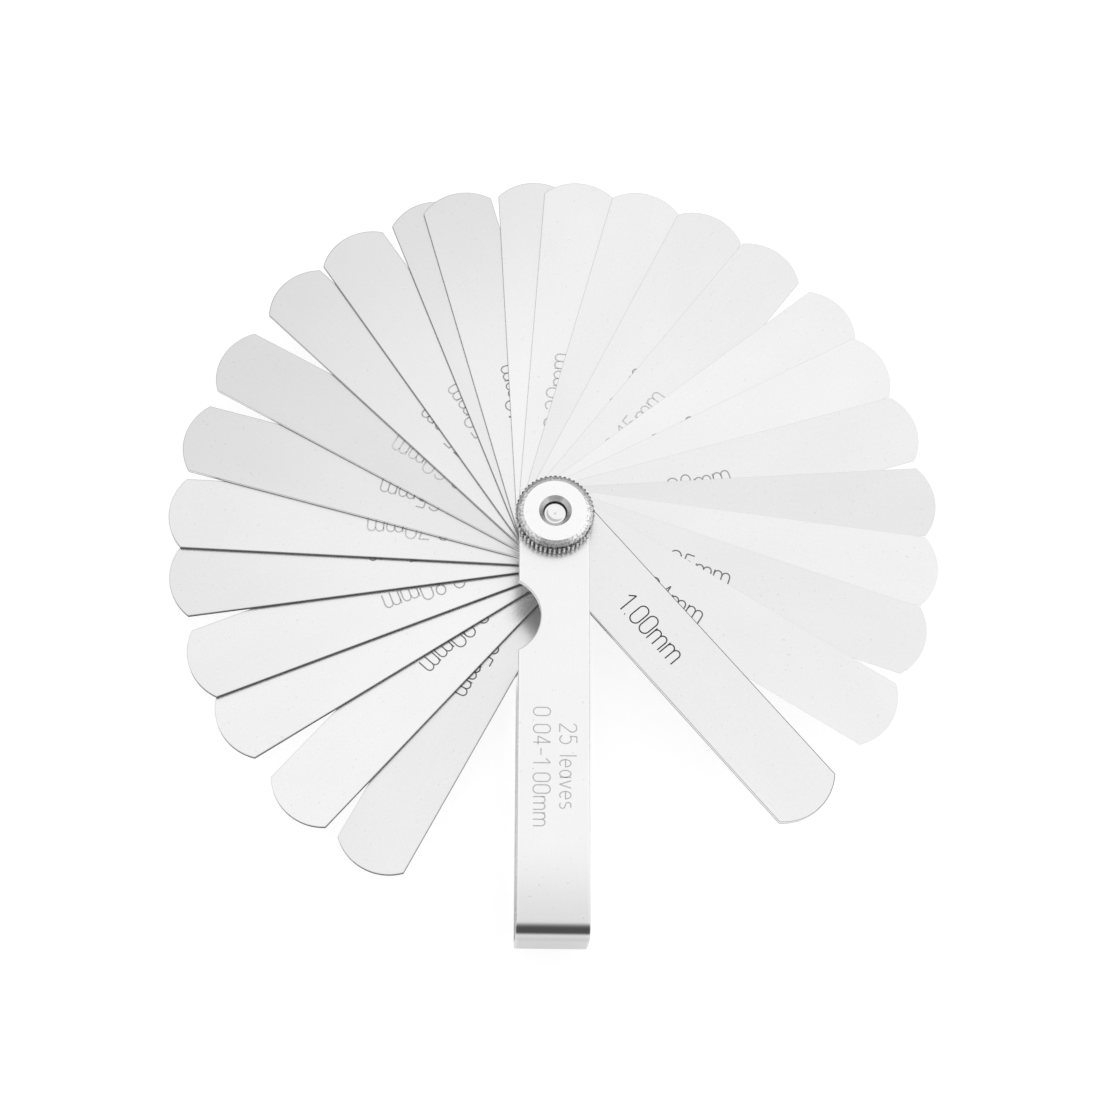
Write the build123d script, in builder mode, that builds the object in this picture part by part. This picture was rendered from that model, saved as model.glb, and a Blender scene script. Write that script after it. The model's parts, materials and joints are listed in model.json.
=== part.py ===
from build123d import *
import os
from math import sqrt

# Feeler gauge: a stack of hardened steel leaves that turn on one locking screw, in a case
# bent from steel strap. Millimetres. The screw runs along Z, through the origin, and its
# head's face is Z = 0. The case points to -Y, and the thumb nut is at the top.

# Each leaf, from the front of the stack to the back: its thickness, and the way it points
# when fanned out, in degrees anticlockwise from +X as the nut's side shows it. The case
# is at -90, so a leaf there is folded away.
leaves = [
    (1.00, -49.0),
    (0.04, -31.5),
    (0.05, -18.5),
    (0.06, -7.0),
    (0.07, 4.5),
    (0.08, 17.0),
    (0.09, 28.5),
    (0.10, 39.0),
    (0.15, 52.5),
    (0.20, 64.0),
    (0.25, 75.0),
    (0.30, 86.0),
    (0.35, 93.5),
    (0.40, 106.0),
    (0.45, 111.5),
    (0.50, 124.5),
    (0.55, 136.5),
    (0.60, 151.5),
    (0.65, 165.5),
    (0.70, 178.0),
    (0.75, 189.0),
    (0.80, 202.5),
    (0.85, 213.5),
    (0.90, 228.5),
    (0.95, 242.0),
]

# leaves
leaf_width = 12.7
leaf_reach = 67.0  # screw axis to tip
leaf_tip_radius = 9.1
leaf_gap = 0.02  # free height beside each leaf, so that it turns

# case
strap = 1.0
strap_bend_radius = 3.5  # outside of each bend
case_inset = 0.3  # each leaf stands this far proud of the case, for the thumb
case_tip_room = 4.6  # from a folded leaf's tip to the inside of the case's closed end
case_end_reach = 7.0  # screw axis to the crown of each leg's end
case_end_radius = 9.1
case_edge_bevel = 0.15
notch_distance = 17.8  # screw axis to the thumb notch's centre, along the case
notch_radius = 6.8
notch_depth = 3.8

# locking screw
screw_diameter = 4.0
screw_head_diameter = 7.0
screw_head_height = 1.6
screw_head_bevel = 0.35
screw_end_bevel = 0.15
slot_width = 1.0
slot_depth = 0.8

# thumb nut
nut_diameter = 13.6
nut_height = 3.3
nut_shoulder_width = 1.35
nut_shoulder_height = 0.9
nut_base_bevel = 0.25
knurl_teeth = 50
knurl_depth = 0.38
countersink_width = 0.75  # from the bore's wall to the countersink's rim
countersink_depth = 0.85
screw_end_drop = 1.5  # the screw stops this far below the nut's face

# radial clearances on the screw
leaf_clearance = 0.06
case_clearance = 0.05
nut_clearance = 0.06

# sizes that follow
screw_radius = screw_diameter / 2
case_width = leaf_width - 2 * case_inset
case_length = leaf_reach + case_tip_room + strap  # screw axis to the closed end's outside
stack_height = sum(thickness for thickness, direction in leaves) + (len(leaves) + 1) * leaf_gap
case_height = stack_height + 2 * strap
case_bottom = screw_head_height
case_top = case_bottom + case_height
stack_top = case_top - strap
nut_top = case_top + nut_height


os.makedirs("parts", exist_ok=True)


def finish(piece, name):
    piece.part.label = name
    export_step(piece.part, f"parts/{name}.step")


# Case: one strap bent twice into a long U, its two open ends crowned, the screw's hole and
# the thumb notch punched through both legs.
with BuildPart() as case:
    with BuildSketch(Plane.YZ) as side:
        with BuildLine():
            FilletPolyline(
                (case_end_reach, case_bottom + strap / 2),
                (-case_length + strap / 2, case_bottom + strap / 2),
                (-case_length + strap / 2, case_top - strap / 2),
                (case_end_reach, case_top - strap / 2),
                radius=strap_bend_radius - strap / 2,
            )
        trace(line_width=strap)
    extrude(amount=case_width / 2, both=True)
    with BuildSketch() as crowned_ends:
        with Locations((0, case_end_reach - case_end_radius)):
            Circle(case_end_radius)
            Rectangle(case_width, 2 * case_length, align=(Align.CENTER, Align.MAX))
    extrude(amount=case_top, mode=Mode.INTERSECT)
    with BuildSketch() as punched:
        Circle(screw_radius + case_clearance)
        with Locations((notch_depth - case_width / 2 - notch_radius, -notch_distance)):
            Circle(notch_radius)
    extrude(amount=case_top, mode=Mode.SUBTRACT)
    sheared_edges = ShapeList()
    for face in (case.faces().sort_by(Axis.Z)[0], case.faces().sort_by(Axis.Z)[-1]):
        sheared_edges += face.outer_wire().edges().sort_by(Axis.Y)[1:]
    chamfer(sheared_edges, case_edge_bevel)
finish(case, "case")

# Locking screw: a low slotted head against the back leg, and a plain bevelled end that
# stops inside the nut's countersink.
with BuildPart() as pivot_screw:
    with BuildSketch() as head:
        Circle(screw_head_diameter / 2)
    extrude(amount=screw_head_height)
    chamfer(pivot_screw.edges().group_by(Axis.Z)[0], screw_head_bevel)
    with BuildSketch(Plane.XY.offset(screw_head_height)) as shank:
        Circle(screw_radius)
    extrude(amount=nut_top - screw_end_drop - screw_head_height)
    chamfer(pivot_screw.edges().group_by(Axis.Z)[-1], screw_end_bevel)
    with BuildSketch() as slot:
        Rectangle(2 * screw_head_diameter, slot_width)
    extrude(amount=slot_depth, mode=Mode.SUBTRACT)
finish(pivot_screw, "pivot_screw")

# Thumb nut: turned with a sloping shoulder and a countersunk bore, then knurled straight.
with BuildPart() as thumb_nut:
    with BuildSketch(Plane.XZ) as section:
        with BuildLine():
            bore = screw_radius + nut_clearance
            rim = nut_diameter / 2
            rim_top = nut_top - nut_shoulder_height
            Polyline(
                (rim, rim_top),
                (rim - nut_shoulder_width, nut_top),
                (bore + countersink_width, nut_top),
                (bore, nut_top - countersink_depth),
                (bore, case_top),
                (rim - nut_base_bevel, case_top),
                (rim, case_top + nut_base_bevel),
                (rim, rim_top),
            )
        make_face()
    revolve(axis=Axis.Z)
    with BuildSketch(Plane.XY.offset(case_top)) as knurl:
        with PolarLocations(nut_diameter / 2, knurl_teeth):
            Rectangle(knurl_depth * sqrt(2), knurl_depth * sqrt(2), rotation=45)
    extrude(amount=nut_height, mode=Mode.SUBTRACT)
finish(thumb_nut, "thumb_nut")

# Leaves: parallel strips with a half-round tail about the screw and a flatter arc at the
# tip, stacked downwards from the front leg of the case.
leaf_top = stack_top
for thickness, direction in leaves:
    leaf_top -= leaf_gap
    leaf_bottom = leaf_top - thickness
    leaf_plane = Plane((0, 0, leaf_bottom)).rotated((0, 0, direction))
    with BuildPart() as leaf:
        with BuildSketch(leaf_plane) as outline:
            with Locations((leaf_reach - leaf_tip_radius, 0)):
                Circle(leaf_tip_radius)
            with Locations((0, 0)):
                Rectangle(leaf_reach, leaf_width, align=(Align.MIN, Align.CENTER), mode=Mode.INTERSECT)
            Circle(leaf_width / 2)
            Rectangle(
                leaf_reach - leaf_tip_radius, leaf_width, align=(Align.MIN, Align.CENTER)
            )
            Circle(screw_radius + leaf_clearance, mode=Mode.SUBTRACT)
        extrude(amount=thickness)
    finish(leaf, f"leaf_{thickness:.2f}_mm".replace(".", "_", 1))
    leaf_top = leaf_bottom
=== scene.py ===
"""Surface finish, size marks, floor, light and camera for a fanned feeler gauge."""

import json
import math
from collections import namedtuple

import bpy
from mathutils import Matrix, Vector


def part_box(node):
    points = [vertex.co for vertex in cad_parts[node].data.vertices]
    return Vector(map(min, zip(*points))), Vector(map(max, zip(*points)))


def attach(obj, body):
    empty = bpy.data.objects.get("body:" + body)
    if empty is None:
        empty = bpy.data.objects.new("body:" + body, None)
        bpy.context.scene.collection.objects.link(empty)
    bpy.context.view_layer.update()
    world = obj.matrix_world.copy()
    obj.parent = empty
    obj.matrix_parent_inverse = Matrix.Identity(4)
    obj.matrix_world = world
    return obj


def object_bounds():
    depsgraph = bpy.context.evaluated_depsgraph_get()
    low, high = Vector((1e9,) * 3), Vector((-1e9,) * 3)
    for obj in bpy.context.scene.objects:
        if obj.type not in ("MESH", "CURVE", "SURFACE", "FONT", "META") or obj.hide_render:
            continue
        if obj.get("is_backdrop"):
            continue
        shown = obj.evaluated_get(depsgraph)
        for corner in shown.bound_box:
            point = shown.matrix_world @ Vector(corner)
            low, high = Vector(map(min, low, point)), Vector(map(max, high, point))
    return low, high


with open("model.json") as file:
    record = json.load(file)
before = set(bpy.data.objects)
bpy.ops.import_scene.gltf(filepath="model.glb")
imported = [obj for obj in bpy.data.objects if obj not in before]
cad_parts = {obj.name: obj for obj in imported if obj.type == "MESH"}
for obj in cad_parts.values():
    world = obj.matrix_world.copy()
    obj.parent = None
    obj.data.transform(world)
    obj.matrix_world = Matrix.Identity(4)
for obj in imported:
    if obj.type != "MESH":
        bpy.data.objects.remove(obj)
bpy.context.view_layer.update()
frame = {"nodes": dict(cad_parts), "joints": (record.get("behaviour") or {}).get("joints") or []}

bl_info = {
    "name": "Feeler gauge finish",
    "version": (1, 0, 0),
    "blender": (4, 5, 0),
    "location": "3D View > Sidebar > Feeler gauge",
    "description": "Finishes the steel of a feeler gauge, marks its leaves and sets its studio",
    "category": "Object",
}

MM = 0.001
LEAF_PREFIX = "leaf_"
FOLDED_WAY = -90.0  # a folded leaf lies in the case, which points to -Y

# No two leaves come alike from the shear, the grinder and the etching jig. The lightness of each leaf's
# faces and sides also holds painted light and shade, set leaf by leaf.
LeafWork = namedtuple(
    "LeafWork",
    [
        # the two lightnesses of the ground faces carry painted shade, set per leaf
        "light_at_screw",  # lightness of the ground faces
        "light_at_tip",
        # painted light and shade of the sheared sides, set per leaf
        "side_light",  # lightness of the burnished part of the sheared sides
        # painted shade along the rolled-over edge, its darkness set per leaf
        "edge_dark",  # how dark the rolled-over edge is
        "mark_along",  # how far the size mark lies off its place, in millimetres
        "mark_across",
        "etch_depth",  # how deep the mark is etched, from 0 to 1
    ],
)
LEAF_WORK = {
    "leaf_1_00_mm": LeafWork(0.96, 0.97, 0.95, 0.90, 0.00, 0.00, 1.00),
    "leaf_0_04_mm": LeafWork(0.96, 0.97, 0.60, 0.11, -2.30, -0.95, 0.83),
    "leaf_0_05_mm": LeafWork(0.94, 0.94, 0.60, 0.12, -0.85, 0.45, 0.75),
    "leaf_0_06_mm": LeafWork(0.98, 0.98, 0.60, 0.13, -0.50, -1.80, 0.58),
    "leaf_0_07_mm": LeafWork(0.91, 0.90, 0.60, 0.14, -0.50, -1.90, 0.50),
    "leaf_0_08_mm": LeafWork(0.97, 0.96, 0.60, 0.15, -0.60, 0.55, 0.37),
    "leaf_0_09_mm": LeafWork(1.00, 1.00, 0.60, 0.16, -0.50, -1.40, 0.41),
    "leaf_0_10_mm": LeafWork(1.02, 0.98, 0.60, 0.18, -0.70, 0.40, 0.41),
    "leaf_0_15_mm": LeafWork(0.99, 0.94, 0.60, 0.22, -1.40, 0.60, 0.02),
    "leaf_0_20_mm": LeafWork(1.00, 0.94, 0.50, 0.28, 0.40, -0.35, 0.42),
    "leaf_0_25_mm": LeafWork(0.98, 0.98, 0.40, 0.33, -0.50, -1.60, 0.41),
    "leaf_0_30_mm": LeafWork(1.02, 0.98, 0.30, 0.38, -0.30, 1.45, 0.10),
    "leaf_0_35_mm": LeafWork(1.04, 0.92, 0.25, 0.44, -0.50, -1.40, 0.41),
    "leaf_0_40_mm": LeafWork(1.00, 0.86, 0.25, 0.50, -1.35, 0.40, 0.45),
    "leaf_0_45_mm": LeafWork(0.96, 0.85, 0.25, 0.54, -0.50, -1.40, 0.50),
    "leaf_0_50_mm": LeafWork(0.98, 0.88, 0.50, 0.60, -0.65, 0.45, 0.15),
    "leaf_0_55_mm": LeafWork(0.97, 0.85, 0.70, 0.60, -1.00, 0.35, 0.22),
    "leaf_0_60_mm": LeafWork(0.90, 0.84, 0.95, 0.35, -0.45, 0.10, 0.00),
    "leaf_0_65_mm": LeafWork(0.95, 0.86, 0.95, 0.40, -1.50, 0.40, 0.14),
    "leaf_0_70_mm": LeafWork(1.01, 0.97, 0.18, 0.42, -0.30, 0.95, 0.00),
    "leaf_0_75_mm": LeafWork(1.03, 0.94, 0.12, 0.40, -0.30, 0.15, 0.50),
    "leaf_0_80_mm": LeafWork(1.04, 1.00, 0.12, 0.40, -0.80, 1.60, 0.15),
    "leaf_0_85_mm": LeafWork(1.06, 1.03, 0.12, 0.38, -0.50, -1.10, 0.50),
    "leaf_0_90_mm": LeafWork(1.04, 1.05, 0.12, 0.34, -0.10, 0.35, 0.66),
    "leaf_0_95_mm": LeafWork(0.97, 0.98, 0.12, 0.30, 0.00, -0.05, 0.75),
}


def leaf_directions():
    """Every leaf's node with the way it points at rest, front of the stack first."""
    turns = {joint["child"]: joint["range_deg"][0] for joint in frame["joints"]}
    leaves = [name for name in frame["nodes"] if name.startswith(LEAF_PREFIX)]
    leaves.sort(key=lambda name: -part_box(name)[1].z)
    return [(name, FOLDED_WAY - turns[name]) for name in leaves]


# ---------------------------------------------------------------- shader nodes


class Wire:
    """A value on its way through a node tree. Arithmetic on it adds Math nodes."""

    def __init__(self, nodes, socket):
        self.nodes = nodes
        self.socket = socket

    def work(self, operation, first, second):
        return self.nodes.add("ShaderNodeMath", {"operation": operation}, {0: first, 1: second})

    def __add__(self, other):
        return self.work("ADD", self, other)

    def __radd__(self, other):
        return self.work("ADD", other, self)

    def __sub__(self, other):
        return self.work("SUBTRACT", self, other)

    def __rsub__(self, other):
        return self.work("SUBTRACT", other, self)

    def __mul__(self, other):
        return self.work("MULTIPLY", self, other)

    def __rmul__(self, other):
        return self.work("MULTIPLY", other, self)

    def __truediv__(self, other):
        return self.work("DIVIDE", self, other)

    def __neg__(self):
        return self.work("SUBTRACT", 0.0, self)

    def __abs__(self):
        return self.nodes.add("ShaderNodeMath", {"operation": "ABSOLUTE"}, {0: self})

    def or_more(self, other):
        return self.work("MAXIMUM", self, other)


class Nodes:
    """Builds one node tree, each node from its type, its settings and its sockets."""

    def __init__(self, tree):
        tree.nodes.clear()
        self.tree = tree

    def add(self, kind, settings=None, sockets=None, output=0):
        node = self.tree.nodes.new(kind)
        for key, value in (settings or {}).items():
            setattr(node, key, value)
        for key, value in (sockets or {}).items():
            if isinstance(value, Wire):
                self.tree.links.new(value.socket, node.inputs[key])
            else:
                node.inputs[key].default_value = value
        return Wire(self, node.outputs[output]) if node.outputs else None

    def step(self, value, low, high):
        """Rises smoothly from 0 at low to 1 at high."""
        settings = {"interpolation_type": "SMOOTHSTEP"}
        return self.add("ShaderNodeMapRange", settings, {0: value, 1: low, 2: high})

    def noise(self, vector, scale, detail=2.0):
        sockets = {"Vector": vector, "Scale": scale, "Detail": detail}
        return self.add("ShaderNodeTexNoise", None, sockets)

    def stretch(self, vector, factors, shift=(0.0, 0.0, 0.0)):
        settings = {"operation": "MULTIPLY_ADD"}
        return self.add("ShaderNodeVectorMath", settings, {0: vector, 1: factors, 2: shift})

    def move(self, vector, shift):
        return self.stretch(vector, (1.0, 1.0, 1.0), shift)

    def shade(self, colour, factor):
        """A colour made lighter or darker by a number that varies."""
        return self.add("ShaderNodeVectorMath", {"operation": "SCALE"}, {0: colour, "Scale": factor})

    def mix(self, factor, first, second):
        sockets = {0: factor, 6: first, 7: second}
        return self.add("ShaderNodeMix", {"data_type": "RGBA"}, sockets, output=2)

    def parts(self, vector):
        """The X, Y and Z of a vector."""
        x = self.add("ShaderNodeSeparateXYZ", None, {0: vector})
        return x, Wire(self, x.socket.node.outputs[1]), Wire(self, x.socket.node.outputs[2])

    def bump(self, height, strength=1.0, distance=1.0):
        sockets = {"Height": height, "Strength": strength, "Distance": distance}
        return self.add("ShaderNodeBump", None, sockets)

    def facing(self):
        """The X, Y and Z of the way a face looks."""
        return self.parts(self.add("ShaderNodeNewGeometry", output="Normal"))

    def face_up(self):
        """How far a face looks up or down: 1 on flat faces, 0 on upright ones."""
        return abs(self.facing()[2])

    def place(self, turn=0.0):
        """The place on the piece in millimetres, turned back about the screw."""
        place = self.add("ShaderNodeTexCoord", output="Object")
        turned = {"Vector": place, "Angle": -math.radians(turn)}
        place = self.add("ShaderNodeVectorRotate", {"rotation_type": "Z_AXIS"}, turned)
        return self.stretch(place, (1 / MM, 1 / MM, 1 / MM))

    def rings(self, radius, fineness):
        """Turning marks: noise that changes only with the distance from the axis."""
        across = self.add("ShaderNodeCombineXYZ", None, {0: radius})
        return self.noise(across, fineness, 3.0)

    def radius(self, place):
        """Distance from the screw's axis."""
        flat = self.stretch(place, (1.0, 1.0, 0.0))
        return self.add("ShaderNodeVectorMath", {"operation": "LENGTH"}, {0: flat}, output="Value")

    def metal(self, colour, roughness, normal=None):
        """The finished surface. A colour and a roughness may vary over it."""
        sockets = {"Base Color": colour, "Roughness": roughness, "Metallic": 1.0}
        if normal is not None:
            sockets["Normal"] = normal
        shader = self.add("ShaderNodeBsdfPrincipled", None, sockets)
        self.add("ShaderNodeOutputMaterial", None, {"Surface": shader})


def material(name):
    made = bpy.data.materials.new(name)
    made.use_nodes = True
    return made, Nodes(made.node_tree)


def rgba(colour):
    return (*colour, 1.0)


# ------------------------------------------------------------------- materials

# Masks and noises are worked out in millimetres. The depth of each relief is in metres.
LEAF_RELIEF = 4e-7
CASE_RELIEF = 1.5e-6
NUT_RELIEF = 8e-6
SCREW_RELIEF = 3e-5
FAR_INSIDE = 9.0  # stands for a distance inside the outline where no edge is near


def ground_leaf_steel(name, direction, number, look):
    """Rolled and ground spring steel: lines along the leaf, faint clouds, sheared sides and edges in
    painted light and shade.
    """
    made, nodes = material(name)
    work = LEAF_WORK[name]
    low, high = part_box(name)
    bottom, thickness = low.z / MM, (high.z - low.z) / MM
    half, reach, tip = look.half_width / MM, look.reach / MM, look.tip_radius / MM
    place = nodes.place(direction)
    along, across, up = nodes.parts(place)

    # each leaf has its own stretch of the grain
    shift = (17.0 * number, 5.0 * number, 0.0)
    own_place = nodes.move(place, shift)
    lines = nodes.noise(nodes.stretch(place, (0.05, 6.0, 1.0), shift), 1.0, 2.0)
    scratches = nodes.noise(nodes.stretch(place, (0.08, 2.2, 1.0), shift), 1.0, 3.0)
    clouds = nodes.noise(nodes.stretch(place, (0.06, 0.11, 1.0), shift), 1.0, 4.0)
    grain = nodes.noise(own_place, 2.4, 2.0)
    specks = nodes.step(nodes.noise(own_place, 1.6, 1.0), 0.70, 0.78)

    # how far a point lies outside the leaf's outline: past its sides, or past the tip's arc
    to_side = abs(across) - half
    to_tip = nodes.radius(nodes.move(place, (tip - reach, 0.0, 0.0))) - tip
    in_tip = nodes.step(along, reach - tip, reach - tip + 0.5)
    outline = to_side.or_more(to_tip * in_tip - FAR_INSIDE * (1.0 - in_tip))

    # the shear rolls the edge over in a narrow band, wider on a thick leaf; the band is rougher, and
    # painted dark as shade along the edge, more so on the leaf's anticlockwise side
    painted_edge_width = 0.08 + 0.12 * min(thickness, 0.6)
    painted_edge_shade = nodes.step(outline, -painted_edge_width, -0.4 * painted_edge_width)
    painted_edge_shade = painted_edge_shade * (0.7 + nodes.step(across, -1.0, 1.0) * 0.3)

    tone = 0.92 + clouds * 0.07 + lines * 0.012 + scratches * 0.012 + grain * 0.05
    tone = tone - specks * 0.08 - painted_edge_shade * (look.painted_edge_shade * work.edge_dark)
    # painted shade: each leaf lighter or darker as a whole and towards its tip, leaf by leaf
    outward = nodes.step(along, 25.0, 70.0)
    tone = tone * (work.light_at_screw + outward * (work.light_at_tip - work.light_at_screw))
    ground = nodes.shade(tuple(look.colour), tone)

    # a sheared side has a burnish zone above and a torn zone below; its lightness is painted light and
    # shade set per leaf, and the torn zone is darker, partly as painted shade where the side meets the
    # leaf below
    sheared = 1.0 - nodes.step(nodes.face_up(), 0.3, 0.7)
    torn = 1.0 - nodes.step(up, bottom + 0.30 * thickness, bottom + 0.42 * thickness)
    burnish_painted_light = rgba(work.side_light * part for part in look.side_colour)
    torn_painted_shade = rgba(min(work.side_light, 0.15) * part for part in look.side_colour)
    colour = nodes.mix(sheared, ground, nodes.mix(torn, burnish_painted_light, torn_painted_shade))

    roughness = look.roughness + (clouds - 0.5) * 0.10 + (lines - 0.5) * 0.06
    roughness = roughness + sheared * (0.20 - 0.35 * work.side_light + torn * 0.20) + painted_edge_shade * 0.10
    relief = lines * 0.5 + scratches * 0.3 + grain * 0.2
    nodes.metal(colour, roughness, nodes.bump(relief * LEAF_RELIEF))
    return made


def etched_mark(name, colour):
    """Acid-etched grey: rougher and darker than the steel round it, a little uneven."""
    made, nodes = material(name)
    uneven = nodes.noise(nodes.place(), 2.5, 3.0)
    nodes.metal(nodes.shade(tuple(colour), 0.75 + uneven * 0.5), 0.45 + uneven * 0.25)
    return made


def satin_case_steel(look):
    """Nickel-plated strap: satin, with faint lengthwise scratches, worn edges with a painted highlight,
    and painted shade and reflection at the bend.
    """
    made, nodes = material("case_satin_nickel")
    low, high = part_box("case")
    end, middle = -low.y / MM, (low.z + high.z) / 2 / MM
    half, bend = look.half_width / MM, look.bend_radius / MM
    place = nodes.place()
    x, y, z = nodes.parts(place)
    scratches = nodes.noise(nodes.stretch(place, (7.0, 0.2, 0.2)), 1.0, 4.0)
    clouds = nodes.noise(place, 0.12, 3.0)
    pits = nodes.step(nodes.noise(place, 1.3, 1.0), 0.72, 0.80)
    peel = nodes.noise(place, 3.0, 2.0)
    # edges worn smoother, with a painted highlight along them
    worn_edge_highlight = nodes.step(abs(x), half - 0.55, half - 0.15)
    # painted shade on the upright faces at the end of the bend
    painted_bend_shade = nodes.step(-y, end - 3.4, end - 1.6) * (1.0 - nodes.step(nodes.face_up(), 0.25, 0.75))

    # painted shade a little before the bend, where the strap starts curling
    painted_shade_before_bend = nodes.step(-y, end - 16.5, end - 0.5) * (1.0 - painted_bend_shade)

    # painted reflection: a dark band across the outside of the upper bend, where the bend mirrors the
    # dark gap of the room
    round_bend = (-y - (end - bend)) / bend
    painted_reflection_band = nodes.step(round_bend, 0.24, 0.54) * (1.0 - nodes.step(round_bend, 0.68, 0.83))
    outside = nodes.step(-nodes.facing()[1], 0.05, 0.20)
    painted_reflection_band = painted_reflection_band * outside * nodes.step(z, middle, middle + 1.0)

    tone = 0.94 + clouds * 0.05 + scratches * 0.05 - pits * 0.10
    tone = tone + worn_edge_highlight * 0.05 - painted_bend_shade * 0.37 - painted_shade_before_bend * 0.20
    colour = nodes.shade(tuple(look.colour), tone * (1.0 - painted_reflection_band * 0.78))
    roughness = look.roughness + (clouds - 0.5) * 0.10 + (scratches - 0.5) * 0.08
    roughness = roughness + painted_bend_shade * 0.06 - worn_edge_highlight * 0.05
    relief = peel * 0.7 + scratches * 0.3
    nodes.metal(colour, roughness, nodes.bump(relief * CASE_RELIEF))
    return made


def bright_nut_plating(look):
    """Bright nickel on a turned and knurled nut, with dirt held in the knurl and painted shade in its
    hollows and on its shoulder.
    """
    made, nodes = material("nut_bright_nickel")
    rim, bore = look.rim / MM, look.bore / MM
    place = nodes.place()
    radius = nodes.radius(place)
    rings = nodes.rings(radius, 9.0)
    wear = nodes.noise(place, 0.9, 4.0)
    grit = nodes.step(nodes.noise(place, 2.6, 3.0), 0.44, 0.62)
    spots = nodes.step(nodes.noise(place, 1.7, 2.0), 0.66, 0.74)

    # the nut's faces, told apart by the way they look and by their distance from the axis
    flat = nodes.step(nodes.face_up(), 0.90, 0.98)
    upright = 1.0 - nodes.step(nodes.face_up(), 0.15, 0.40)
    sloping = 1.0 - flat - upright
    inner = 1.0 - nodes.step(radius, bore + 0.85, bore + 1.0)
    thread = upright * inner
    countersink = sloping * inner
    shoulder = sloping * (1.0 - inner)
    knurl = upright * (1.0 - inner)
    roots = knurl * (1.0 - nodes.step(radius, rim - 0.30, rim - 0.02))
    outer_half = nodes.step(radius, rim - 0.95, rim - 0.70)
    brim = nodes.step(radius, rim - 0.42, rim - 0.25)

    # painted shade: the knurl's roots, the threaded bore, the countersink (more along its turning
    # rings) and the outer part and brim of the shoulder are darkened, and the knurl a little as a whole
    tone = 0.95 + wear * 0.06 - roots * 0.60 - thread * 0.55
    tone = tone - countersink * (0.06 + rings * 0.30)
    tone = tone - shoulder * (0.06 + outer_half * 0.26 + brim * 0.30)
    tone = tone - knurl * 0.10 - grit * (knurl * 0.46 + shoulder * 0.34) - spots * flat * 0.08
    colour = nodes.shade(tuple(look.colour), tone)
    roughness = look.roughness + rings * flat * 0.06 + wear * 0.06 + roots * 0.25
    roughness = roughness + countersink * 0.14 + grit * (knurl + shoulder) * 0.12
    relief = rings * flat * 0.5 + wear * 0.3 - grit * (knurl + shoulder) * 0.8
    nodes.metal(colour, roughness, nodes.bump(relief * NUT_RELIEF))
    return made


def turned_screw_steel(look):
    """Zinc-plated turned steel, with a pip and a torn crescent where the end was parted off."""
    made, nodes = material("screw_turned_steel")
    place = nodes.place()
    radius = nodes.radius(place)
    flat = nodes.step(nodes.face_up(), 0.90, 0.98)
    rings = nodes.rings(radius, 7.0)
    wear = nodes.noise(place, 1.4, 4.0)
    off_centre = nodes.radius(nodes.move(place, (-0.35, -0.55, 0.0)))
    torn = nodes.step(off_centre, 1.55, 1.65) * (1.0 - nodes.step(radius, 1.45, 1.55)) * flat
    # painted shade: the bevelled rim and the screw's sides are darkened
    edge = nodes.step(radius, 1.72, 1.84).or_more(1.0 - flat)
    pip = (1.0 - nodes.step(radius, 0.18, 0.30)) * flat
    tone = 0.95 + wear * 0.08 - torn * 0.35 - pip * 0.24 - edge * 0.55
    colour = nodes.shade(tuple(look.colour), tone)
    roughness = look.roughness + rings * flat * 0.08 + wear * 0.10 + torn * 0.2
    relief = rings * flat * 0.5 + wear * 0.3 - torn
    nodes.metal(colour, roughness, nodes.bump(relief, 0.08, SCREW_RELIEF))
    return made


def dress(node, made):
    """Give a part of the frame its finish."""
    for slot in frame["nodes"][node].material_slots:
        slot.material = made


# ------------------------------------------------------------------- lettering

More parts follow.
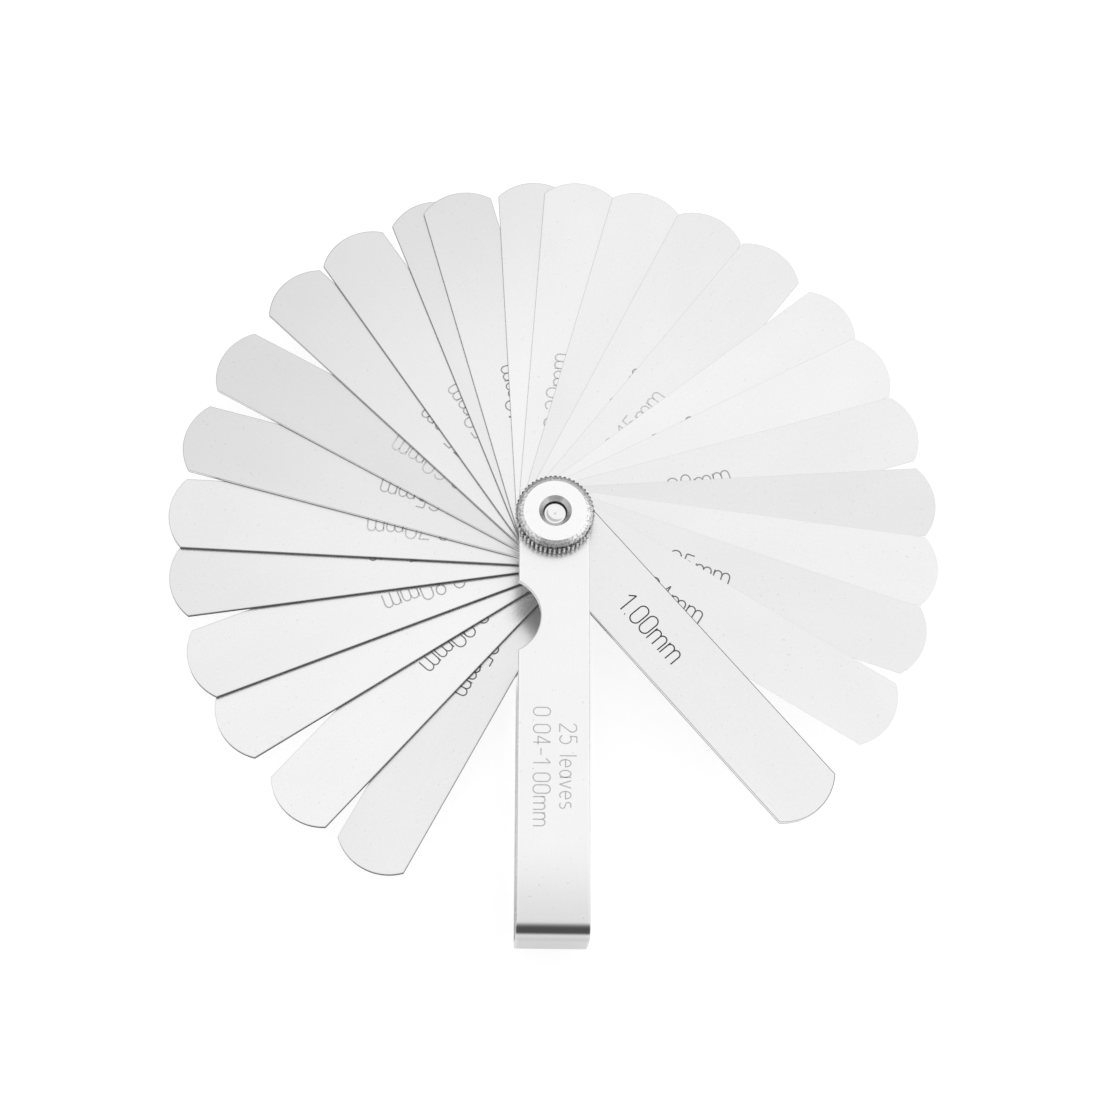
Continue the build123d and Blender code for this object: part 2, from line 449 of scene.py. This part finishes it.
# Strokes of a plain engraver's hand, in letter heights from the left end of the baseline.
# A stroke joins its steps in order. A step of two numbers is a point, and a step of six is
# an arc: centre, radii, first and last angle in degrees.
GLYPHS = {
    "0": (0.50, [[(0.25, 0.75, 0.25, 0.25, 0, 180), (0.25, 0.25, 0.25, 0.25, 180, 360), (0.5, 0.75)]]),
    "1": (0.36, [[(0.02, 0.74), (0.28, 1.0), (0.28, 0.0)]]),
    "2": (0.50, [[(0.25, 0.74, 0.25, 0.26, 165, -35), (0.0, 0.0), (0.5, 0.0)]]),
    "3": (0.50, [[(0.23, 0.76, 0.23, 0.24, 150, -90), (0.23, 0.26, 0.27, 0.26, 90, -150)]]),
    "4": (0.52, [[(0.37, 0.0), (0.37, 1.0), (0.0, 0.28), (0.52, 0.28)]]),
    "5": (0.50, [[(0.45, 1.0), (0.08, 1.0), (0.05, 0.61), (0.23, 0.34, 0.27, 0.34, 130, -145)]]),
    "6": (0.50, [[(0.25, 0.75, 0.25, 0.25, 25, 180), (0.25, 0.27, 0.25, 0.27, 180, 540)]]),
    "7": (0.48, [[(0.0, 1.0), (0.48, 1.0), (0.15, 0.0)]]),
    "8": (0.50, [[(0.25, 0.76, 0.22, 0.24, -90, 270)], [(0.25, 0.26, 0.25, 0.26, 90, 450)]]),
    "9": (0.50, [[(0.25, 0.73, 0.25, 0.27, 0, 360), (0.25, 0.25, 0.25, 0.25, 0, -155)]]),
    ".": (0.14, [[(0.05, 0.0), (0.10, 0.0)]]),
    "-": (0.40, [[(0.0, 0.45), (0.4, 0.45)]]),
    "m": (
        0.76,
        [
            [(0.0, 0.70), (0.0, 0.0)],
            [(0.19, 0.50, 0.19, 0.20, 180, 0), (0.38, 0.0)],
            [(0.57, 0.50, 0.19, 0.20, 180, 0), (0.76, 0.0)],
        ],
    ),
    "l": (0.06, [[(0.03, 1.0), (0.03, 0.0)]]),
    "e": (0.44, [[(0.0, 0.34), (0.44, 0.34), (0.22, 0.33, 0.22, 0.33, 0, 310)]]),
    "a": (0.42, [[(0.21, 0.33, 0.21, 0.33, 0, 360)], [(0.42, 0.66), (0.42, 0.0)]]),
    "v": (0.44, [[(0.0, 0.66), (0.22, 0.0), (0.44, 0.66)]]),
    "s": (0.36, [[(0.18, 0.495, 0.17, 0.165, 40, 270), (0.18, 0.165, 0.18, 0.165, 90, -140)]]),
    " ": (0.30, []),
}
ARC_STEP = 18.0  # degrees
SHARP_TURN = 50.0  # degrees, where a stroke is lifted and started afresh
SAME_POINT = 0.004  # letter heights, within which two points of a stroke are one
CLOSED_GAP = 0.01  # letter heights, within which a stroke meets its own start

# How a line is written: the height of its figures, the gap between them in that height, the
# width of a stroke and how far it stands proud.
Hand = namedtuple("Hand", ["height", "gap", "stroke", "proud"])


def stroke_points(stroke):
    """The points of one stroke, its arcs in short steps."""
    points = []
    for step in stroke:
        if len(step) == 2:
            points.append(step)
            continue
        x, y, across, up, first, last = step
        count = max(2, round(abs(last - first) / ARC_STEP))
        for i in range(count + 1):
            angle = math.radians(first + (last - first) * i / count)
            points.append((x + across * math.cos(angle), y + up * math.sin(angle)))
    kept = points[:1]
    for point in points[1:]:
        if math.dist(point, kept[-1]) > SAME_POINT:
            kept.append(point)
    return kept


def lifted_at_corners(points):
    """The stroke cut at its sharp turns, so that it keeps its full width round them."""
    runs = [[points[0]]]
    for before, point, after in zip(points, points[1:], points[2:]):
        runs[-1].append(point)
        way_in = Vector((point[0] - before[0], point[1] - before[1]))
        way_out = Vector((after[0] - point[0], after[1] - point[1]))
        if math.degrees(way_in.angle(way_out)) > SHARP_TURN:
            runs.append([point])
    runs[-1].append(points[-1])
    return runs


def line_strokes(text, gap):
    """The strokes of a line of text, in letter heights, centred on its middle."""
    along = 0.0
    strokes = []
    for letter in text:
        width, parts = GLYPHS[letter]
        for part in parts:
            strokes += lifted_at_corners([(along + x, y) for x, y in stroke_points(part)])
        along += width + gap
    middle = (along - gap) / 2
    return [[(x - middle, y - 0.5) for x, y in points] for points in strokes]


def lettering(name, text, hand, to_place, made):
    """A line of flattened engraver's strokes, centred on its origin, laid by a matrix."""
    curve = bpy.data.curves.new(name, "CURVE")
    curve.dimensions = "3D"
    curve.bevel_depth = hand.stroke / 2
    curve.bevel_resolution = 1
    curve.use_fill_caps = True
    for points in line_strokes(text, hand.gap):
        closed = math.dist(points[0], points[-1]) < CLOSED_GAP
        if closed:
            points.pop()
        spline = curve.splines.new("POLY")
        spline.points.add(len(points) - 1)
        for point, (x, y) in zip(spline.points, points):
            point.co = (x * hand.height, y * hand.height, 0.0, 1.0)
        spline.use_cyclic_u = closed
    rough = bpy.data.objects.new(name + "_strokes", curve)
    bpy.context.scene.collection.objects.link(rough)
    graph = bpy.context.evaluated_depsgraph_get()
    mesh = bpy.data.meshes.new_from_object(rough.evaluated_get(graph))
    bpy.data.objects.remove(rough)
    bpy.data.curves.remove(curve)
    mesh.name = name
    flattened = Matrix.Diagonal((1.0, 1.0, hand.proud / (hand.stroke / 2), 1.0))
    mesh.transform(to_place @ flattened)
    mesh.materials.clear()
    mesh.materials.append(made)
    piece = bpy.data.objects.new(name, mesh)
    bpy.context.scene.collection.objects.link(piece)
    return piece


# -------------------------------------------------------------------- settings


class LeafLook(bpy.types.PropertyGroup):
    colour: bpy.props.FloatVectorProperty(
        name="Steel",
        description="Colour of the ground faces",
        default=(0.868, 0.868, 0.870),
        subtype="COLOR",
    )
    side_colour: bpy.props.FloatVectorProperty(
        name="Sides",
        description="Colour of the lightest sheared sides",
        default=(0.9, 0.9, 0.91),
        subtype="COLOR",
    )
    # how much painted shade darkens each leaf's edge
    painted_edge_shade: bpy.props.FloatProperty(
        name="Burr",
        description="How much of its dark edge each leaf shows",
        default=1.0,
        min=0.0,
        max=1.5,
    )
    roughness: bpy.props.FloatProperty(
        name="Roughness", description="Roughness of the ground faces", default=0.26, min=0.05, max=1.0
    )
    half_width: bpy.props.FloatProperty(
        name="Half width",
        description="From the middle of a leaf to its side",
        default=0.00635,
        unit="LENGTH",
    )
    reach: bpy.props.FloatProperty(
        name="Reach", description="Screw's axis to the tip of a leaf", default=0.067, unit="LENGTH"
    )
    tip_radius: bpy.props.FloatProperty(
        name="Tip radius", description="Radius of the tip's arc", default=0.0091, unit="LENGTH"
    )


class MarkLook(bpy.types.PropertyGroup):
    height: bpy.props.FloatProperty(
        name="Leaf figures",
        description="Height of the size on each leaf",
        default=0.0037,
        unit="LENGTH",
    )
    case_height: bpy.props.FloatProperty(
        name="Case figures",
        description="Height of the lines on the case",
        default=0.00285,
        unit="LENGTH",
    )
    stroke: bpy.props.FloatProperty(
        name="Stroke", description="Width of an etched stroke", default=0.00024, unit="LENGTH"
    )
    case_stroke: bpy.props.FloatProperty(
        name="Case stroke",
        description="Width of a stroke on the case",
        default=0.00019,
        unit="LENGTH",
    )
    proud: bpy.props.FloatProperty(
        name="Proud",
        description="Height of a stroke over the steel",
        default=0.000006,
        unit="LENGTH",
    )
    from_screw: bpy.props.FloatProperty(
        name="From the screw",
        description="Screw's axis to the middle of a size",
        default=0.0255,
        unit="LENGTH",
    )
    below_middle: bpy.props.FloatProperty(
        name="Below the middle",
        description="Leaf's middle line to the middle of a size",
        default=0.0002,
        unit="LENGTH",
    )
    gap: bpy.props.FloatProperty(
        name="Leaf spacing",
        description="Gap between figures, in their height",
        default=0.145,
        min=0.0,
    )
    case_gap: bpy.props.FloatProperty(
        name="Case spacing",
        description="Gap between the case's figures, in their height",
        default=0.20,
        min=0.0,
    )
    deep_colour: bpy.props.FloatVectorProperty(
        name="Deep etch",
        description="Colour of the deepest mark",
        default=(0.08, 0.08, 0.085),
        subtype="COLOR",
    )
    faint_colour: bpy.props.FloatVectorProperty(
        name="Faint etch",
        description="Colour of a mark that hardly took",
        default=(0.7, 0.7, 0.7),
        subtype="COLOR",
    )
    case_depth: bpy.props.FloatProperty(
        name="Case etch",
        description="Depth of the case's etch",
        default=0.20,
        subtype="FACTOR",
        min=0.0,
        max=1.0,
    )

    def etch(self, name, depth):
        faint, deep = Vector(self.faint_colour), Vector(self.deep_colour)
        return etched_mark(name, faint.lerp(deep, depth))


class CaseLook(bpy.types.PropertyGroup):
    colour: bpy.props.FloatVectorProperty(
        name="Nickel", description="Colour of the case", default=(0.90, 0.90, 0.905), subtype="COLOR"
    )
    roughness: bpy.props.FloatProperty(
        name="Roughness", description="Roughness of the case", default=0.26, min=0.05, max=1.0
    )
    half_width: bpy.props.FloatProperty(
        name="Half width",
        description="From the middle of the case to its side",
        default=0.00605,
        unit="LENGTH",
    )
    bend_radius: bpy.props.FloatProperty(
        name="Bend",
        description="Outside radius of the strap's bends",
        default=0.0035,
        unit="LENGTH",
    )


class NutLook(bpy.types.PropertyGroup):
    colour: bpy.props.FloatVectorProperty(
        name="Nickel",
        description="Colour of the thumb nut",
        default=(0.95, 0.95, 0.955),
        subtype="COLOR",
    )
    roughness: bpy.props.FloatProperty(
        name="Roughness", description="Roughness of the thumb nut", default=0.10, min=0.02, max=1.0
    )
    rim: bpy.props.FloatProperty(
        name="Rim", description="Radius of the knurled rim", default=0.0068, unit="LENGTH"
    )
    bore: bpy.props.FloatProperty(
        name="Bore", description="Radius of the threaded bore", default=0.00206, unit="LENGTH"
    )


class ScrewLook(bpy.types.PropertyGroup):
    colour: bpy.props.FloatVectorProperty(
        name="Zinc", description="Colour of the screw", default=(0.90, 0.90, 0.91), subtype="COLOR"
    )
    roughness: bpy.props.FloatProperty(
        name="Roughness", description="Roughness of the screw", default=0.16, min=0.02, max=1.0
    )


class StudioLook(bpy.types.PropertyGroup):
    floor_size: bpy.props.FloatProperty(
        name="Floor", description="Side of the square floor", default=12.0, unit="LENGTH"
    )
    floor_colour: bpy.props.FloatVectorProperty(
        name="Floor colour",
        description="Colour of the floor",
        default=(0.42, 0.42, 0.42),
        subtype="COLOR",
    )
    floor_glow: bpy.props.FloatProperty(
        name="Floor glow", description="Light that comes up through the floor", default=0.70, min=0.0
    )
    camera_azimuth: bpy.props.FloatProperty(
        name="Azimuth", description="Camera's turn from -Y", default=math.radians(-6.9), unit="ROTATION"
    )
    camera_elevation: bpy.props.FloatProperty(
        name="Elevation",
        description="Camera's height angle",
        default=math.radians(69.88),
        unit="ROTATION",
    )
    camera_roll: bpy.props.FloatProperty(
        name="Roll", description="Camera's roll", default=math.radians(0.21), unit="ROTATION"
    )
    camera_distance: bpy.props.FloatProperty(
        name="Distance", description="Camera to the point it looks at", default=0.403, unit="LENGTH"
    )
    camera_aim: bpy.props.FloatVectorProperty(
        name="Aim",
        description="The point looked at, from the middle of the object",
        default=(-0.00039, -0.00064, -0.0011),
        subtype="TRANSLATION",
    )
    camera_lens: bpy.props.FloatProperty(
        name="Lens", description="Focal length in millimetres", default=75.6, min=1.0
    )


# ------------------------------------------------------------------- operators


class GAUGE_OT_finish_leaves(bpy.types.Operator):
    """Give every leaf its ground steel, with the grain along the leaf"""

    bl_idname = "gauge.finish_leaves"
    bl_label = "Finish the leaves"

    def execute(self, context):
        look = context.scene.gauge_leaf
        for number, (leaf, direction) in enumerate(leaf_directions()):
            dress(leaf, ground_leaf_steel(leaf, direction, number, look))
        return {"FINISHED"}


class GAUGE_OT_mark_leaves(bpy.types.Operator):
    """Etch each leaf's thickness on it, read outwards from the screw"""

    bl_idname = "gauge.mark_leaves"
    bl_label = "Mark the leaves"

    def execute(self, context):
        look = context.scene.gauge_mark
        hand = Hand(look.height, look.gap, look.stroke, look.proud)
        for leaf, direction in leaf_directions():
            name = leaf.replace(LEAF_PREFIX, "size_mark_")
            whole, part = leaf.split("_")[1:3]
            work = LEAF_WORK[leaf]
            along = look.from_screw + work.mark_along * MM
            across = work.mark_across * MM - look.below_middle
            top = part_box(leaf)[1].z
            to_place = Matrix.Rotation(math.radians(direction), 4, "Z")
            to_place = to_place @ Matrix.Translation((along, across, top))
            made = look.etch(name + "_etch", work.etch_depth)
            mark = lettering(name, f"{whole}.{part}mm", hand, to_place, made)
            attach(mark, leaf)
        return {"FINISHED"}


class GAUGE_OT_finish_case(bpy.types.Operator):
    """Give the case its satin plating and the lines that say what it holds"""

    bl_idname = "gauge.finish_case"
    bl_label = "Finish the case"

    # each line with its middle's X and Y in millimetres
    LINES = (
        ("range_line", "0.04-1.00mm", -2.0, -44.1),
        ("count_line", "25 leaves", 2.4, -44.0),
    )

    def execute(self, context):
        dress("case", satin_case_steel(context.scene.gauge_case))
        look = context.scene.gauge_mark
        hand = Hand(look.case_height, look.case_gap, look.case_stroke, look.proud)
        made = look.etch("case_etch", look.case_depth)
        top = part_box("case")[1].z
        down_the_case = Matrix.Rotation(math.radians(-90), 4, "Z")
        for name, text, x, y in self.LINES:
            to_place = Matrix.Translation((x * MM, y * MM, top)) @ down_the_case
            line = lettering(name, text, hand, to_place, made)
            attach(line, "case")
        return {"FINISHED"}


class GAUGE_OT_finish_nut(bpy.types.Operator):
    """Give the thumb nut its bright plating"""

    bl_idname = "gauge.finish_nut"
    bl_label = "Finish the thumb nut"

    def execute(self, context):
        dress("thumb_nut", bright_nut_plating(context.scene.gauge_nut))
        return {"FINISHED"}


class GAUGE_OT_finish_screw(bpy.types.Operator):
    """Give the locking screw its turned steel"""

    bl_idname = "gauge.finish_screw"
    bl_label = "Finish the screw"

    def execute(self, context):
        dress("pivot_screw", turned_screw_steel(context.scene.gauge_screw))
        return {"FINISHED"}


class GAUGE_OT_set_studio(bpy.types.Operator):
    """Lay the floor, light it softly and place the camera"""

    bl_idname = "gauge.set_studio"
    bl_label = "Set the studio"

    def execute(self, context):
        look = context.scene.gauge_studio
        low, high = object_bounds()
        middle = (low + high) / 2
        self.floor(look, low.z)
        self.surround()
        self.camera(look, middle)
        context.scene.view_settings.view_transform = "Standard"
        return {"FINISHED"}

    def floor(self, look, height):
        """A matt floor that glows, so that shadows on it stay faint."""
        made, nodes = material("floor_white")
        sockets = {
            "Base Color": rgba(look.floor_colour),
            "Roughness": 0.9,
            "Emission Color": (1.0, 1.0, 1.0, 1.0),
            "Emission Strength": look.floor_glow,
            "Specular IOR Level": 0.1,
        }
        shader = nodes.add("ShaderNodeBsdfPrincipled", None, sockets)
        nodes.add("ShaderNodeOutputMaterial", None, {"Surface": shader})
        half = look.floor_size / 2
        around = [(-half, -half), (half, -half), (half, half), (-half, half)]
        corners = [(x, y, height) for x, y in around]
        mesh = bpy.data.meshes.new("floor")
        mesh.from_pydata(corners, [], [(0, 1, 2, 3)])
        mesh.materials.append(made)
        floor = bpy.data.objects.new("floor", mesh)
        bpy.context.scene.collection.objects.link(floor)
        floor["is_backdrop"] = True

    def surround(self):
        """White room with a dark gap behind the camera, between its two side screens."""
        world = bpy.data.worlds.new("white_room")
        world.use_nodes = True
        nodes = Nodes(world.node_tree)
        way = nodes.add("ShaderNodeTexCoord", output="Generated")
        x, y, z = nodes.parts(way)
        level = nodes.radius(way) + 0.001  # never 0, straight up
        front = nodes.step((x * 0.04 - y) / level, 0.68, 0.86)
        below_ceiling = 1.0 - nodes.step(z, 0.76, 0.93)
        gap = front * below_ceiling * nodes.step(z, -0.02, 0.20)
        # the walls are dimmer near the floor, and the room is lighter towards +X
        walls = 0.34 + nodes.step(z, 0.0, 0.30) * 0.66
        strength = walls * (1.0 - gap * 0.55) * (1.01 + x * 0.20)
        sockets = {"Color": (1.0, 1.0, 1.0, 1.0), "Strength": strength}
        glow = nodes.add("ShaderNodeBackground", None, sockets)
        nodes.add("ShaderNodeOutputWorld", None, {"Surface": glow})
        bpy.context.scene.world = world

    def camera(self, look, middle):
        """A camera that looks down at the fan from in front."""
        turn, rise = look.camera_azimuth, look.camera_elevation
        aim = middle + Vector(look.camera_aim)
        level = math.cos(rise)
        back = Vector((math.sin(turn) * level, -math.cos(turn) * level, math.sin(rise)))
        data = bpy.data.cameras.new("camera")
        data.lens = look.camera_lens
        data.sensor_width = 36.0
        data.clip_start, data.clip_end = 0.01, 10.0
        camera = bpy.data.objects.new("camera", data)
        camera.location = aim + back * look.camera_distance
        upright = Vector((0.0, 1.0, 0.0))
        right = (-back).cross(upright).normalized()
        up = right.cross(-back)
        looking = Matrix((right, up, back)).transposed().to_4x4()
        looking = looking @ Matrix.Rotation(look.camera_roll, 4, "Z")
        camera.rotation_euler = looking.to_euler()
        bpy.context.scene.collection.objects.link(camera)
        bpy.context.scene.camera = camera


class GAUGE_PT_panel(bpy.types.Panel):
    bl_idname = "GAUGE_PT_panel"
    bl_label = "Feeler gauge"
    bl_space_type = "VIEW_3D"
    bl_region_type = "UI"
    bl_category = "Feeler gauge"

    def draw(self, context):
        for operator in OPERATORS:
            self.layout.operator(operator.bl_idname)
        for name in SETTINGS:
            look = getattr(context.scene, name)
            box = self.layout.box()
            for key in look.__annotations__:
                box.prop(look, key)


SETTINGS = {
    "gauge_leaf": LeafLook,
    "gauge_mark": MarkLook,
    "gauge_case": CaseLook,
    "gauge_nut": NutLook,
    "gauge_screw": ScrewLook,
    "gauge_studio": StudioLook,
}
OPERATORS = (
    GAUGE_OT_finish_leaves,
    GAUGE_OT_mark_leaves,
    GAUGE_OT_finish_case,
    GAUGE_OT_finish_nut,
    GAUGE_OT_finish_screw,
    GAUGE_OT_set_studio,
)


def register():
    for made in (*SETTINGS.values(), *OPERATORS, GAUGE_PT_panel):
        bpy.utils.register_class(made)
    for name, group in SETTINGS.items():
        setattr(bpy.types.Scene, name, bpy.props.PointerProperty(type=group))


def unregister():
    for name in SETTINGS:
        delattr(bpy.types.Scene, name)
    for made in (GAUGE_PT_panel, *reversed(OPERATORS), *SETTINGS.values()):
        bpy.utils.unregister_class(made)


def main():
    register()
    for operator in OPERATORS:
        group, name = operator.bl_idname.split(".")
        getattr(getattr(bpy.ops, group), name)()


if __name__ == "__main__":
    main()
